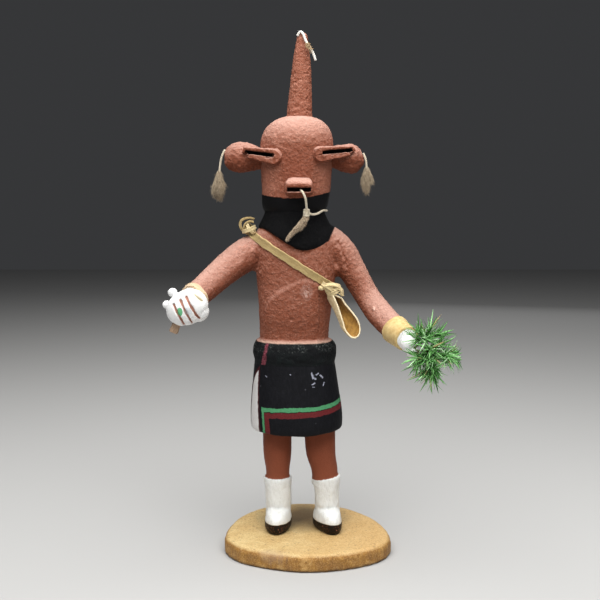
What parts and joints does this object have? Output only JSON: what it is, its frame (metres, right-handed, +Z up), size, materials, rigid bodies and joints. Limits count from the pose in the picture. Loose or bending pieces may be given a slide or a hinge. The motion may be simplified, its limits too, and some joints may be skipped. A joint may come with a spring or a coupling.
{
  "type": "carved wooden kachina doll",
  "caption": "Carved and painted wooden mudhead kachina doll with tall crown cone, side knobs, bandolier and spruce, standing on an oval wooden slab.",
  "frame": {"origin": "middle of the slab's flat underside", "axes": "+Z up, the doll faces -Y, its left hand at +X"},
  "size_m": [0.1541, 0.1112, 0.2935],
  "materials": {
    "base_wood": "pale varnished pine",
    "mud_paint": "matte sandy mud-brown paint on carved root, with painted black, white, red and green areas",
    "bare_stick": "bare twig",
    "cream_leather": "thin soft cream hide",
    "yellow_leather": "thin soft yellow hide",
    "strap_leather": "soft tan hide strip",
    "cotton": "undyed cotton string and fibre",
    "spruce_needles": "bright green needles on yellow-brown twigs"
  },
  "bodies": {
    "root": {"base": "base_wood", "body": "mud_paint", "crown_cone": "mud_paint", "side_knob_right": "mud_paint", "side_knob_left": "mud_paint", "eye_bar_right": "mud_paint", "eye_bar_left": "mud_paint", "mouth": "mud_paint", "arm_right": "mud_paint", "arm_left": "mud_paint", "held_stick": "bare_stick", "cuff_right": "cream_leather", "cuff_left": "yellow_leather", "bandolier_strap": "strap_leather", "pouch": "strap_leather", "crown_string": "cotton", "knob_tassel_right": "cotton", "knob_tassel_left": "cotton", "mouth_tassel": "cotton", "neck_string": "cotton", "spruce_bunch": "spruce_needles"}
  },
  "joints": []
}
